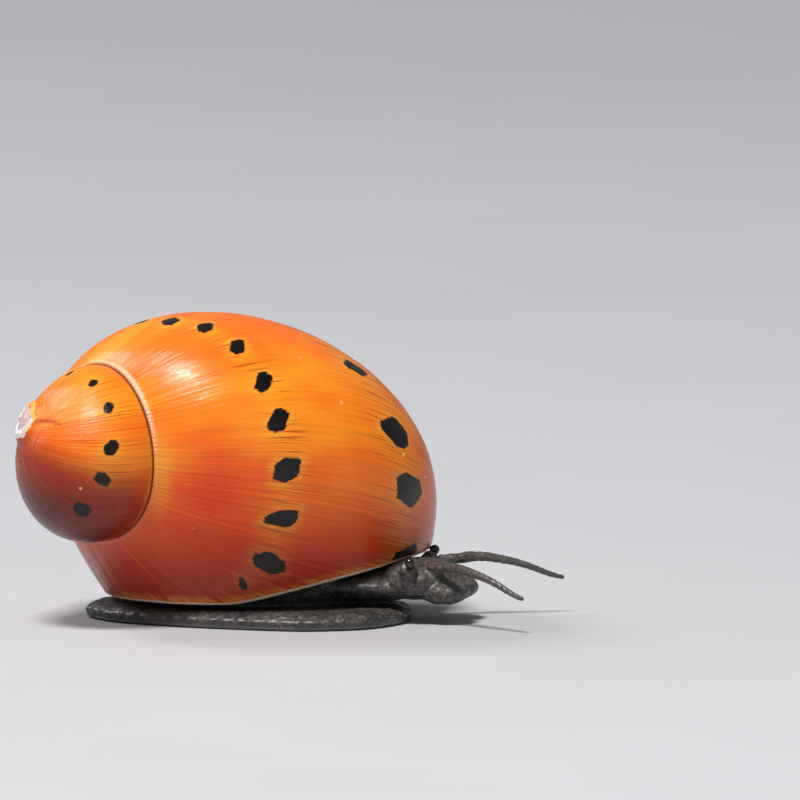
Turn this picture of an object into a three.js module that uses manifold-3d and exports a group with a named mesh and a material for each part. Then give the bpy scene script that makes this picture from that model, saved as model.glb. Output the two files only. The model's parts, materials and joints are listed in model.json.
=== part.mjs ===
// Nerite snail, life size, as a still model. Millimetres, +X towards the head, +Z up.
// The shell is an egg-shaped body whorl with a low domed spire on its rear right shoulder.
// They meet in the suture, a spiral that winds right-handed from the apex out to the lip.
// The shell's edge is a little higher in front, where the neck and head come out.
import * as THREE from 'three';
import { mergeVertices } from 'three/addons/utils/BufferGeometryUtils.js';
import { LoftGeometry } from 'three/addons/geometries/LoftGeometry.js';
import Module from 'manifold-3d';

const wasm = await Module();
wasm.setup();

const GAP = 0.3;
const FAR = 40;               // a distance well outside the part

// Body whorl: an egg with three unlike half-lengths, turned to its place.
const BODY_CENTRE = new THREE.Vector3(0, 0, 8.36);
const BODY_HALF = new THREE.Vector3(12.2, 9.8, 8.05);
const BODY_TURN = { yaw: 44.4, pitch: 27.1, roll: -30.1 };
const BASE_DROP = 0.05;       // how much fuller the lower half is than an egg, per mm

// Spire: a low dome whose short axis points back and up.
const SPIRE_CENTRE = new THREE.Vector3(-6.78, -7.38, 10.03);
const SPIRE_HALF = new THREE.Vector3(4.46, 5.2, 5.2);
const SPIRE_TURN = { yaw: -1.8, pitch: 21.3, roll: 0 };
const APEX = new THREE.Vector3(-10.37, -10.19, 11.7);
const TIP_CENTRE = new THREE.Vector3(-9.42, -9.42, 11.6); // a low worn knob at the apex
const TIP_RADIUS = 1.65;
const WORN_RADIUS = 1.72;

// Coil: the axis runs forward and down from the apex, and the turn is measured round it
// from straight up, positive on the outer lip's side.
const COIL_AXIS = new THREE.Vector3(-0.656, -0.753, 0.051).normalize();
const COIL_WIDTH = 1.16;      // breadth of a turn against its height
const SUTURE_RADIUS = 4.85;   // at a quarter turn
const SUTURE_WIDENING = 0.19; // growth for each radian of turn
const PLUG_DEPTH = 7.6;       // how deep the spire is set into the body whorl
const PLUG_TOP = 4;
const BULGE = 0.45;           // how far the dome stands out over the suture near the lip
const BULGE_DEPTHS = [5.0, 4.3];
const BULGE_TURNS = [1.8, 2.5];
const SHOULDER_BLEND = 3.0;   // how softly the first half turn leaves the spire
const SHOULDER_TURN = 2.3;    // where the shoulder starts, under the spire
const SHOULDER_END = 13;      // depth below the apex where it has faded out
const SHOULDER_FADE = 4;
const SEAM_LENGTH = 8;

// Shell edge: level behind, and rising towards the head.
const OUTER_LIP_YAW = -41;    // the way the outer lip faces, in degrees from +X
const LIP_HEIGHT = 1.3;
const LIP_RISE = 0.26;
const LIP_RISE_START = 1.0;
const LIP_BAND = 0.9;
const WALL = 0.9;
const CAVITY_TOP = 3.9;
const DECK_RECESS = 0.6;
const DECK_THICKNESS = 1.1;
const DECK_EDGE = -1.0;       // offset of the deck's edge from the middle, towards the lip
const DECK_TEETH = 5;
const DECK_TOOTH_RADIUS = 0.32;
const DECK_TOOTH_SPACING = 1.25;
const DECK_TOOTH_SINK = 0.1;
const MANTLE_WIDTH = 0.6;
const MANTLE_HEIGHT = 0.9;

// Foot: a broad flat sole with a column that goes up into the shell.
const FOOT_CENTRE = new THREE.Vector3(0.6, -0.8, 0);
const FOOT_HALF_LENGTH = 9.6;
const FOOT_HALF_WIDTH = 6.2;
const FOOT_THICKNESS = 0.95;
const FOOT_TAPER = 0.22;
const FOOT_SQUARENESS = 0.85;
const FOOT_RIM = [             // inset and share of the thickness, from the floor up
  [0.35, 0], [0.12, 0.12], [0, 0.4], [0.1, 0.7], [0.4, 0.92], [0.9, 1],
];
const COLUMN_BASE = 0.5;
const NECK_START = 4.6;
const NECK_TOP = 3.5;
const NECK_CENTRE = new THREE.Vector3(7.2, 0, 2.1);
const NECK_HALF = new THREE.Vector3(4.5, 3.0, 0.85);
const LID_THICKNESS = 0.5;

// Head.
const HEAD_BACK = 9.1;
const HEAD_CENTRE = new THREE.Vector3(10.5, 0, 2.45);
const HEAD_HALF = new THREE.Vector3(2.4, 3.0, 1.2);
const SNOUT_LOBE_CENTRE = new THREE.Vector3(12.2, 1.1, 1.9);
const SNOUT_LOBE_HALF = new THREE.Vector3(1.5, 1.8, 0.8);
const SNOUT_HALF = new THREE.Vector3(1.6, 2.9, 1.2);
const MOUTH_BACK = 11.8;
const MOUTH_WIDTH = 0.3;
const MOUTH_TOP = 1.9;
const TENTACLE_LENGTH = 7.6;
const TENTACLE_ROOT = new THREE.Vector3(11.2, 1.8, 3.25);
const TENTACLE_RADIUS = 0.34;
const TENTACLE_TIP_RADIUS = 0.2;
const TENTACLE_SPREAD = 32;
const TENTACLE_PIECES = 3;
const TENTACLE_RISES = [0, 0.25, -0.25, -1.3];
const EYE_STALK_ROOT = new THREE.Vector3(10.3, 2.45, 2.9);
const EYE_STALK_RADIUS = 0.45;
const EYE_STALK_LENGTH = 0.75;
const EYE_STALK_LEAN = { ahead: 0.25, out: 0.8, up: 0.65 };
const EYE_RADIUS = 0.28;

const rad = THREE.MathUtils.degToRad;
const UP = new THREE.Vector3(0, 0, 1);
const LEVEL = { yaw: 0, pitch: 0, roll: 0 };
const outerLip = new THREE.Vector3(Math.cos(rad(OUTER_LIP_YAW)), Math.sin(rad(OUTER_LIP_YAW)), 0);

function turned({ yaw, pitch, roll }) {
  return new THREE.Euler(rad(roll), rad(pitch), rad(yaw), 'ZYX');
}

// A closed three.js geometry as a solid that can be cut and joined.
function solidOf(geometry) {
  const bare = new THREE.BufferGeometry();
  bare.setAttribute('position', geometry.getAttribute('position'));
  bare.setIndex(geometry.index);
  const merged = mergeVertices(bare, 1e-4);
  return new wasm.Manifold(new wasm.Mesh({
    numProp: 3,
    vertProperties: new Float32Array(merged.attributes.position.array),
    triVerts: new Uint32Array(merged.index.array),
  }));
}

function largestPiece(solid) {
  const pieces = solid.decompose();
  pieces.sort((a, b) => b.volume() - a.volume());
  return pieces[0];
}

// An egg: a sphere stretched to three half-lengths, less an inset, turned and moved.
function egg(centre, half, turn, inset, rings = 40) {
  const geometry = new THREE.SphereGeometry(1, Math.round(rings * 1.4), rings);
  geometry.scale(half.x - inset, half.y - inset, half.z - inset);
  geometry.applyMatrix4(new THREE.Matrix4().makeRotationFromEuler(turned(turn)));
  geometry.translate(centre.x, centre.y, centre.z);
  return geometry;
}

// How far along a ray from the body's centre an egg reaches, seen in the egg's own axes.
function eggReach(direction, centre, half, turn) {
  const back = new THREE.Quaternion().setFromEuler(turned(turn)).invert();
  const from = BODY_CENTRE.clone().sub(centre).applyQuaternion(back).divide(half);
  const along = direction.clone().applyQuaternion(back).divide(half);
  const a = along.lengthSq();
  const b = from.dot(along);
  const root = b * b - a * (from.lengthSq() - 1);
  return root > 0 ? (-b + Math.sqrt(root)) / a : 0;
}

// The body egg with its lower half let down, so that the base is full.
function bodyReach(direction) {
  let reach = eggReach(direction, BODY_CENTRE, BODY_HALF, BODY_TURN);
  for (let i = 0; i < 12 && direction.z < 0; i += 1) {
    const below = -direction.z * reach;
    const raised = (Math.sqrt(1 + 4 * BASE_DROP * below) - 1) / (2 * BASE_DROP);
    const flatter = direction.clone().setZ(-raised / reach);
    const length = flatter.length();
    reach = eggReach(flatter.normalize(), BODY_CENTRE, BODY_HALF, BODY_TURN) / length;
  }
  return reach;
}

const coilUp = new THREE.Vector3(0, 0, 1).projectOnPlane(COIL_AXIS).normalize();
const coilOut = new THREE.Vector3().crossVectors(coilUp, COIL_AXIS).normalize();

const sutureRadius = (turn) => SUTURE_RADIUS * Math.exp(SUTURE_WIDENING * (turn - Math.PI / 2));

// Turn round the coil's axis, distance from it and depth below the apex of a point.
function coilPlace(point) {
  const q = point.clone().sub(APEX);
  const up = q.dot(coilUp);
  const out = q.dot(coilOut) / COIL_WIDTH;
  return { turn: Math.atan2(out, up), radius: Math.hypot(out, up), depth: -q.dot(COIL_AXIS) };
}

// The body whorl's reach along a ray from its centre. Behind the spire it swells up over
// the dome's flank, so that the suture winds in towards the apex.
function whorlReach(direction) {
  const body = bodyReach(direction);
  const spire = eggReach(direction, SPIRE_CENTRE, SPIRE_HALF, SPIRE_TURN);
  const larger = Math.max(body, spire);
  const { turn, depth } = coilPlace(BODY_CENTRE.clone().addScaledVector(direction, larger));
  const nearApex = THREE.MathUtils.clamp((SHOULDER_END - depth) / SHOULDER_FADE, 0, 1);
  const share = turn < 0 ? 1 : THREE.MathUtils.smoothstep(turn, SHOULDER_TURN, Math.PI);
  const blend = SHOULDER_BLEND * Math.max(0, -Math.sin(turn)) + 0.01;
  const overlap = Math.max(0, 1 - Math.abs(body - spire) / blend);
  return body + nearApex * share * (larger - body + overlap ** 2 * blend / 4);
}

// The closed surface of the body whorl, less an inset measured along each ray.
function whorlForm(inset, rings, reach = whorlReach) {
  const geometry = new THREE.SphereGeometry(1, Math.round(rings * 1.4), rings);
  geometry.rotateX(-Math.PI / 2);
  const position = geometry.attributes.position;
  const direction = new THREE.Vector3();
  for (let i = 0; i < position.count; i += 1) {
    direction.fromBufferAttribute(position, i).normalize();
    const point = BODY_CENTRE.clone().addScaledVector(direction, reach(direction) - inset);
    position.setXYZ(i, point.x, point.y, point.z);
  }
  return solidOf(geometry);
}

// A plug along the coil's axis, bounded by one whole turn of the suture and a little wider
// where the dome stands out over it.
function suturePlug(grow, steps = 72) {
  const ring = (along, bulge) => Array.from({ length: steps + 1 }, (_, i) => {
    const turn = THREE.MathUtils.lerp(Math.PI, -Math.PI, i / steps);
    const radius = sutureRadius(turn) + grow
      + bulge * THREE.MathUtils.smoothstep(turn, ...BULGE_TURNS);
    return APEX.clone()
      .addScaledVector(coilUp, radius * Math.cos(turn))
      .addScaledVector(coilOut, COIL_WIDTH * radius * Math.sin(turn))
      .addScaledVector(COIL_AXIS, along);
  });
  const rings = [
    ring(-PLUG_DEPTH - grow, 0),
    ring(-BULGE_DEPTHS[0], 0),
    ring(-BULGE_DEPTHS[1], BULGE),
    ring(PLUG_TOP, BULGE),
  ];
  return solidOf(new LoftGeometry(rings, { capStart: true, capEnd: true }));
}

// The thin gap under the spire where one turn of the suture runs on into the next.
function seamGap() {
  const geometry = new THREE.BoxGeometry(2 * GAP, SEAM_LENGTH, FAR);
  geometry.translate(0, -SEAM_LENGTH / 2 - sutureRadius(-Math.PI), 0);
  geometry.applyMatrix4(new THREE.Matrix4().makeBasis(coilOut, coilUp, COIL_AXIS));
  geometry.translate(APEX.x, APEX.y, APEX.z);
  return solidOf(geometry);
}

function tipBall(radius) {
  const geometry = new THREE.SphereGeometry(radius, 30, 20);
  return solidOf(geometry.translate(TIP_CENTRE.x, TIP_CENTRE.y, TIP_CENTRE.z));
}

// All that lies below the shell's edge, raised by an offset.
function belowLip(offset) {
  const shape = new THREE.Shape([
    new THREE.Vector2(-FAR, -FAR),
    new THREE.Vector2(FAR, -FAR),
    new THREE.Vector2(FAR, LIP_HEIGHT + offset + LIP_RISE * (FAR - LIP_RISE_START)),
    new THREE.Vector2(LIP_RISE_START, LIP_HEIGHT + offset),
    new THREE.Vector2(-FAR, LIP_HEIGHT + offset),
  ]);
  const geometry = new THREE.ExtrudeGeometry(shape, { depth: 2 * FAR, bevelEnabled: false });
  geometry.rotateX(Math.PI / 2);
  geometry.translate(0, FAR, 0);
  return solidOf(geometry);
}

function block(x0, x1, y0, y1, z0, z1) {
  const geometry = new THREE.BoxGeometry(x1 - x0, y1 - y0, z1 - z0);
  geometry.translate((x0 + x1) / 2, (y0 + y1) / 2, (z0 + z1) / 2);
  return solidOf(geometry);
}

// Everything on the outer lip's side of a line parallel to the columella.
function outerSide(offset) {
  const geometry = new THREE.BoxGeometry(2 * FAR, 2 * FAR, 2 * FAR);
  geometry.translate(FAR + offset, 0, 0);
  geometry.rotateZ(rad(OUTER_LIP_YAW));
  return solidOf(geometry);
}

const below = (height) => block(-FAR, FAR, -FAR, FAR, -FAR, height);
const squared = (value) => Math.sign(value) * Math.abs(value) ** FOOT_SQUARENESS;

// Sole outline: a rounded oblong, broad in front and narrower behind.
function soleRing(inset, z, count = 56) {
  const points = [];
  for (let i = 0; i < count; i += 1) {
    const angle = i / count * 2 * Math.PI;
    const along = squared(Math.cos(angle));
    const across = squared(Math.sin(angle));
    const width = FOOT_HALF_WIDTH * (1 + FOOT_TAPER * along) - inset;
    points.push(new THREE.Vector3(
      FOOT_CENTRE.x + along * (FOOT_HALF_LENGTH - inset), FOOT_CENTRE.y + across * width, z,
    ));
  }
  return points;
}

function soleSlab() {
  const rings = FOOT_RIM.map(([inset, share]) => soleRing(inset, share * FOOT_THICKNESS));
  return solidOf(new LoftGeometry(rings, { capStart: true, capEnd: true }));
}

// A tapered round rod along a curve, as a loft of rings.
function rod(curve, radiusAt, from, to, rings = 7, sides = 12) {
  const sections = [];
  for (let i = 0; i <= rings; i += 1) {
    const t = THREE.MathUtils.lerp(from, to, i / rings);
    const centre = curve.getPointAt(t);
    const tangent = curve.getTangentAt(t);
    const side = new THREE.Vector3().crossVectors(UP, tangent).normalize();
    const up = new THREE.Vector3().crossVectors(tangent, side).normalize();
    const ring = [];
    for (let j = 0; j < sides; j += 1) {
      const angle = j / sides * 2 * Math.PI;
      ring.push(centre.clone()
        .addScaledVector(side, Math.cos(angle) * radiusAt(t))
        .addScaledVector(up, Math.sin(angle) * radiusAt(t)));
    }
    sections.push(ring);
  }
  return new LoftGeometry(sections, { capStart: true, capEnd: true });
}

const snail = new THREE.Group();

function addNode(name, solid, colour, roughness) {
  const kept = largestPiece(solid);
  const mesh = kept.getMesh();
  const geometry = new THREE.BufferGeometry();
  geometry.setAttribute('position', new THREE.BufferAttribute(mesh.vertProperties, 3));
  geometry.setIndex(new THREE.BufferAttribute(mesh.triVerts, 1));
  geometry.computeVertexNormals();
  const material = new THREE.MeshStandardMaterial({ color: colour, roughness, metalness: 0 });
  const node = new THREE.Mesh(geometry, material);
  node.name = name;
  snail.add(node);
}

const ORANGE = '#e8661a';
const ORANGE_RED = '#c93a10';
const CHALK = '#e9dfcf';
const DARK_FLESH = '#2b2a28';
const GREY_FLESH = '#4a4842';

// Shell.
const innerWall = whorlForm(WALL, 26);
const hollow = outerSide(DECK_EDGE)
  .intersect(below(CAVITY_TOP))
  .add(belowLip(DECK_RECESS + DECK_THICKNESS + GAP));
const whorl = whorlForm(0, 44);
const whole = whorl
  .subtract(suturePlug(GAP))
  .subtract(belowLip(0))
  .subtract(innerWall.intersect(hollow));
addNode('shell_body_whorl', whole.subtract(belowLip(LIP_BAND + GAP)), ORANGE, 0.25);
addNode('shell_outer_lip', whole.intersect(belowLip(LIP_BAND)), ORANGE_RED, 0.3);
const dome = solidOf(egg(SPIRE_CENTRE, SPIRE_HALF, SPIRE_TURN, 0, 34));
const spire = whorlForm(0, 30, bodyReach).add(dome)
  .intersect(suturePlug(0))
  .subtract(seamGap());
addNode('shell_spire', spire.subtract(tipBall(WORN_RADIUS + GAP)), ORANGE_RED, 0.25);
addNode('shell_apex', spire.add(tipBall(TIP_RADIUS)).intersect(tipBall(WORN_RADIUS)), CHALK, 0.7);

// Columellar deck: a flat shelf across the inner half of the opening, with a toothed edge.
const deckSpace = whorlForm(WALL + GAP, 26)
  .intersect(belowLip(DECK_RECESS + DECK_THICKNESS))
  .subtract(belowLip(DECK_RECESS));
let deck = deckSpace.subtract(outerSide(DECK_EDGE - GAP));
const deckEdgeDirection = new THREE.Vector3(-outerLip.y, outerLip.x, 0);
for (let i = 0; i < DECK_TEETH; i += 1) {
  const along = (i - (DECK_TEETH - 1) / 2) * DECK_TOOTH_SPACING;
  const place = outerLip.clone().multiplyScalar(DECK_EDGE - GAP - DECK_TOOTH_SINK)
    .addScaledVector(deckEdgeDirection, along);
  const middle = LIP_HEIGHT + DECK_RECESS + DECK_THICKNESS / 2
    + LIP_RISE * Math.max(0, place.x - LIP_RISE_START);
  const tooth = new THREE.SphereGeometry(DECK_TOOTH_RADIUS, 10, 7).translate(place.x, place.y, middle);
  deck = deck.add(solidOf(tooth));
}
addNode('shell_columellar_deck', deck, CHALK, 0.35);

// Soft body inside the opening, split into mantle edge, neck and the foot's column.
const openingSide = outerSide(DECK_EDGE + DECK_TOOTH_RADIUS + GAP);
const mantle = whorlForm(WALL + GAP, 26)
  .subtract(whorlForm(WALL + GAP + MANTLE_WIDTH, 26))
  .intersect(belowLip(GAP + MANTLE_HEIGHT))
  .subtract(belowLip(GAP))
  .intersect(openingSide);
addNode('mantle_edge', mantle, GREY_FLESH, 0.6);
const filling = whorlForm(WALL + MANTLE_WIDTH + 2 * GAP, 22)
  .intersect(openingSide)
  .intersect(below(CAVITY_TOP - GAP));
const column = filling.intersect(block(-FAR, NECK_START - GAP, -FAR, FAR, COLUMN_BASE, FAR));
addNode('foot', column.add(soleSlab()), DARK_FLESH, 0.6);

// The neck leaves the opening under the raised front edge, clear of the wall and the mantle.
const wallClearance = whorlForm(-GAP, 26)
  .subtract(belowLip(-GAP))
  .subtract(whorlForm(WALL + MANTLE_WIDTH + 2 * GAP, 22));
const neckRod = egg(NECK_CENTRE, NECK_HALF, LEVEL, 0, 16);
const neck = filling.intersect(below(NECK_TOP))
  .add(solidOf(neckRod))
  .intersect(block(NECK_START, HEAD_BACK - GAP, -FAR, FAR, FOOT_THICKNESS + GAP, FAR))
  .subtract(wallClearance);
addNode('neck', neck, DARK_FLESH, 0.6);

// Head: a broad flat dome and a snout of two lobes with the mouth's slit between them.
const headEgg = (grow) => solidOf(egg(HEAD_CENTRE, HEAD_HALF, LEVEL, -grow, 18));
const shellClear = whorlForm(-GAP, 26);
const aheadOf = (x) => block(x, FAR, -FAR, FAR, FOOT_THICKNESS + GAP, FAR);
addNode('head', headEgg(0).intersect(aheadOf(HEAD_BACK)).subtract(shellClear), DARK_FLESH, 0.6);

function snoutLobe(side) {
  const centre = SNOUT_LOBE_CENTRE.clone().setY(side * SNOUT_LOBE_CENTRE.y);
  return solidOf(egg(centre, SNOUT_LOBE_HALF, LEVEL, 0, 16));
}

const snoutClear = () => solidOf(egg(
  SNOUT_LOBE_CENTRE.clone().setY(0), SNOUT_HALF, LEVEL, -GAP, 16,
));

const mouth = block(MOUTH_BACK, FAR, -MOUTH_WIDTH / 2, MOUTH_WIDTH / 2, -FAR, MOUTH_TOP);
const snout = snoutLobe(1).add(snoutLobe(-1)).subtract(headEgg(GAP)).subtract(mouth)
  .intersect(aheadOf(0));
addNode('snout', snout, DARK_FLESH, 0.6);

// Tentacles, each in a few lengths, and the eyes on short stalks beside them.
function tentacleCurve(side) {
  const point = (along, rise) => new THREE.Vector3(
    TENTACLE_ROOT.x + along * Math.cos(rad(TENTACLE_SPREAD)),
    side * (TENTACLE_ROOT.y + along * Math.sin(rad(TENTACLE_SPREAD))),
    TENTACLE_ROOT.z + rise,
  );
  const last = TENTACLE_RISES.length - 1;
  return new THREE.CatmullRomCurve3(
    TENTACLE_RISES.map((rise, i) => point(i / last * TENTACLE_LENGTH, rise)),
  );
}

const tentacleRadius = (t) => THREE.MathUtils.lerp(TENTACLE_RADIUS, TENTACLE_TIP_RADIUS, t);

for (const [word, side] of [['left', 1], ['right', -1]]) {
  const curve = tentacleCurve(side);
  const gapShare = GAP / TENTACLE_LENGTH;
  for (let i = 0; i < TENTACLE_PIECES; i += 1) {
    const from = i / TENTACLE_PIECES + (i ? gapShare / 2 : 0);
    const to = (i + 1) / TENTACLE_PIECES - (i < TENTACLE_PIECES - 1 ? gapShare / 2 : 0);
    const piece = solidOf(rod(curve, tentacleRadius, from, to));
    const clear = i ? piece : piece.subtract(headEgg(GAP)).subtract(snoutClear());
    addNode(`tentacle_${word}_${i + 1}`, clear, GREY_FLESH, 0.5);
  }
  const root = EYE_STALK_ROOT.clone().setY(side * EYE_STALK_ROOT.y);
  const { ahead, out: sideways, up } = EYE_STALK_LEAN;
  const out = new THREE.Vector3(ahead, side * sideways, up).normalize();
  const stalkPath = new THREE.LineCurve3(root, root.clone().addScaledVector(out, EYE_STALK_LENGTH));
  const stalk = solidOf(rod(stalkPath, () => EYE_STALK_RADIUS, 0, 1, 2));
  addNode(`eye_stalk_${word}`, stalk.subtract(headEgg(GAP)), GREY_FLESH, 0.5);
  const eye = root.clone().addScaledVector(out, EYE_STALK_LENGTH + GAP + EYE_RADIUS);
  const ball = new THREE.SphereGeometry(EYE_RADIUS, 12, 8).translate(eye.x, eye.y, eye.z);
  addNode(`eye_${word}`, solidOf(ball), '#0b0a0a', 0.15);
}

// Operculum: a thin half moon on the foot's back, under the deck.
const lidBase = FOOT_THICKNESS + GAP;
const lid = whorlForm(WALL + 3 * GAP, 26)
  .subtract(outerSide(DECK_EDGE - 2 * GAP))
  .intersect(block(-FAR, FAR, -FAR, FAR, lidBase, lidBase + LID_THICKNESS));
addNode('operculum', lid, '#5a4a40', 0.5);

// The origin is in the middle of the part's box, on the floor.
const box = new THREE.Box3().setFromObject(snail);
const middle = box.getCenter(new THREE.Vector3());
snail.position.set(-middle.x, -middle.y, 0);
snail.updateMatrixWorld(true);

export default snail;
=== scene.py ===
import json
import math

import bmesh
import bpy
import numpy as np
from mathutils import Matrix, Vector
from mathutils.kdtree import KDTree


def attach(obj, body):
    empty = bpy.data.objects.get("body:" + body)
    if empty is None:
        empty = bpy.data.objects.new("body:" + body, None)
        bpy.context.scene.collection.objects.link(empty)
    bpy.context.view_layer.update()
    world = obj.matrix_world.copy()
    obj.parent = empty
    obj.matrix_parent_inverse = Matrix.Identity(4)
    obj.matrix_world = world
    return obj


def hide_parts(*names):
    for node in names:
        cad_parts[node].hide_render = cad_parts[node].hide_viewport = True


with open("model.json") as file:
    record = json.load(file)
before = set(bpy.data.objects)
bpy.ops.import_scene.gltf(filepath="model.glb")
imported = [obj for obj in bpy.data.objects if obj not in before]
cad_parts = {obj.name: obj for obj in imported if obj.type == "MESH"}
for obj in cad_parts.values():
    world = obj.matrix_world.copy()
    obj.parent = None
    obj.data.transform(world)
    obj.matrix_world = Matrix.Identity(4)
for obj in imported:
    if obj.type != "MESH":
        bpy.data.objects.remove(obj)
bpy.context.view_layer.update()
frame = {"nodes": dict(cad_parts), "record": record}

# Sizes are in millimetres on the snail's own axes, and become metres when a mesh is made.
MM = 0.001
ORIGIN = np.array([-3.2184, 1.1976, 0.0])  # the middle of the body whorl, in the row frame

# Body whorl: an egg with three unlike half-lengths, with its lower half let down.
BODY_CENTRE = np.array([0.0, 0.0, 8.36])
BODY_HALF = np.array([12.2, 9.8, 8.05])
BODY_TURN = (44.4, 27.1, -30.1)
BASE_DROP = 0.05

# Spire: a low dome whose short axis points back and up.
SPIRE_CENTRE = np.array([-6.78, -7.38, 10.03])
SPIRE_HALF = np.array([4.46, 5.2, 5.2])
SPIRE_TURN = (-1.8, 21.3, 0.0)
APEX = np.array([-10.37, -10.19, 11.7])
TIP_CENTRE = np.array([-9.42, -9.42, 11.6])  # a low worn knob at the apex
TIP_RADIUS = 1.65
TIP_FACING = np.array([-0.80, -0.42, 0.42])
TIP_AHEAD = np.array([0.978, 0.208, 0.0])  # level, from the tip along the spire's near side
TIP_BLEND = 0.3
TIP_NOTCH = np.array([-9.85, -9.2, 13.0])  # a dark bite in the worn patch's edge
TIP_NOTCH_RADIUS = 0.25
# A dark streak beside the worn tip, as turns and hub angles in degrees.
TIP_STREAK = np.stack([np.linspace(64, 80, 40), np.linspace(4.6, 12.5, 40)], 1)

# Coil: the turn is measured round its axis from straight up, positive on the outer lip's side.
COIL_AXIS = np.array([-0.656, -0.753, 0.051])
COIL_WIDTH = 1.16
INNER_SUTURE = 3.46  # its radius where it passes the top, before the last half turn
SUTURE_WIDENING = 0.19
SHOULDER_BLEND = 3.0
SHOULDER_END = 13.0
COIL_HUB = 12.0  # depth below the apex of the point that marks are measured from

# Shell edge and wall.
LIP_HEIGHT = 1.3
LIP_RISE = 0.26
LIP_RISE_START = 1.0
LIP_ROUNDING = 0.22
WALL = 0.9
CAVITY_TOP = 3.9


def unit(vector):
    return vector / np.linalg.norm(vector, axis=-1, keepdims=True)


COIL_AXIS = unit(COIL_AXIS)
COIL_UP = unit(np.array([0.0, 0.0, 1.0]) - COIL_AXIS[2] * COIL_AXIS)
COIL_OUT = unit(np.cross(COIL_UP, COIL_AXIS))
HUB = APEX - COIL_HUB * COIL_AXIS


def rotation(yaw, pitch, roll):
    turns = Matrix.Rotation(math.radians(yaw), 3, "Z")
    turns = turns @ Matrix.Rotation(math.radians(pitch), 3, "Y")
    return np.array(turns @ Matrix.Rotation(math.radians(roll), 3, "X"))


BODY_AXES = rotation(*BODY_TURN)
SPIRE_AXES = rotation(*SPIRE_TURN)


def smoothstep(value, low, high):
    share = np.clip((value - low) / (high - low), 0, 1)
    return share * share * (3 - 2 * share)


def egg_reach(direction, centre, half, axes):
    """How far a ray from the body's centre goes before it leaves an egg."""
    start = (BODY_CENTRE - centre) @ axes / half
    along = (direction @ axes) / half
    a = (along**2).sum(-1)
    b = along @ start
    root = b * b - a * (start @ start - 1)
    return np.where(root > 0, (-b + np.sqrt(np.maximum(root, 0))) / a, 0)


def body_reach(direction):
    reach = egg_reach(direction, BODY_CENTRE, BODY_HALF, BODY_AXES)
    low = direction[:, 2] < 0
    for _ in range(12):
        below = np.maximum(-direction[:, 2] * reach, 0)
        raised = (np.sqrt(1 + 4 * BASE_DROP * below) - 1) / (2 * BASE_DROP)
        flatter = direction.copy()
        flatter[:, 2] = np.where(low, -raised / reach, direction[:, 2])
        length = np.linalg.norm(flatter, axis=1)
        lowered = egg_reach(unit(flatter), BODY_CENTRE, BODY_HALF, BODY_AXES) / length
        reach = np.where(low, lowered, reach)
    return reach


def coil_place(points):
    """Turn round the coil's axis, distance from it and depth below the apex."""
    q = points - APEX
    up = q @ COIL_UP
    out = (q @ COIL_OUT) / COIL_WIDTH
    return np.arctan2(out, up), np.hypot(out, up), -(q @ COIL_AXIS)


def hub_angle(points):
    """Angle from the apex, in degrees, seen from the hub."""
    q = points - HUB
    across = np.hypot(q @ COIL_UP, (q @ COIL_OUT) / COIL_WIDTH)
    return np.degrees(np.arctan2(across, q @ COIL_AXIS))


def shell_reach(direction):
    """The shell's smooth outer surface along rays from the body's centre."""
    body = body_reach(direction)
    spire = egg_reach(direction, SPIRE_CENTRE, SPIRE_HALF, SPIRE_AXES)
    core = np.maximum(body, spire)
    turn, _, depth = coil_place(BODY_CENTRE + direction * core[:, None])
    near_apex = np.clip((SHOULDER_END - depth) / 4, 0, 1)
    blend = SHOULDER_BLEND * np.maximum(0, -np.sin(turn)) + 0.01
    overlap = np.maximum(0, 1 - np.abs(body - spire) / blend)
    reach = core + near_apex * overlap**2 * blend / 4
    tip = egg_reach(direction, TIP_CENTRE, np.full(3, TIP_RADIUS), np.eye(3))
    overlap = np.maximum(0, 1 - np.abs(tip - reach) / TIP_BLEND)
    return np.maximum(reach, tip) + overlap**2 * TIP_BLEND / 4


def on_shell(turn, radius, depth):
    """Points on the shell on rays towards a turn, radius and depth of the coil."""
    for _ in range(5):
        spoke = COIL_UP * np.cos(turn)[:, None] + COIL_OUT * COIL_WIDTH * np.sin(turn)[:, None]
        points = APEX + spoke * radius[:, None] - COIL_AXIS * depth[:, None]
        direction = unit(points - BODY_CENTRE)
        points = BODY_CENTRE + direction * shell_reach(direction)[:, None]
        depth = coil_place(points)[2]
    return points


def outer_suture(count=500):
    """The crease where the dome meets the body whorl, over the last half turn."""
    turn = np.repeat(np.linspace(0, math.pi, count), 160)
    radius = np.tile(np.linspace(2.0, 8.0, 160), count)
    spoke = COIL_UP * np.cos(turn)[:, None] + COIL_OUT * COIL_WIDTH * np.sin(turn)[:, None]
    direction = unit(APEX + spoke * radius[:, None] - COIL_AXIS * 5.0 - BODY_CENTRE)
    body = body_reach(direction)
    excess = egg_reach(direction, SPIRE_CENTRE, SPIRE_HALF, SPIRE_AXES) - body
    excess = excess.reshape(count, -1)
    last = excess.shape[1] - 1 - np.argmax(excess[:, ::-1] > 0, axis=1)
    row = np.arange(count)
    share = excess[row, last] / (excess[row, last] - excess[row, last + 1])
    points = (BODY_CENTRE + direction * body[:, None]).reshape(count, -1, 3)
    return points[row, last] * (1 - share[:, None]) + points[row, last + 1] * share[:, None]


def inner_suture(first, last, count):
    """The suture wound on inwards over the dome, as a spiral."""
    turn = np.linspace(first, last, count)
    radius = INNER_SUTURE * np.exp(SUTURE_WIDENING * turn)
    return on_shell(turn, radius, np.full(count, 3.0))


def distance_to(points, line):
    tree = KDTree(len(line))
    for index, place in enumerate(line):
        tree.insert(place, index)
    tree.balance()
    return np.array([tree.find(point)[2] for point in points])


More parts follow.
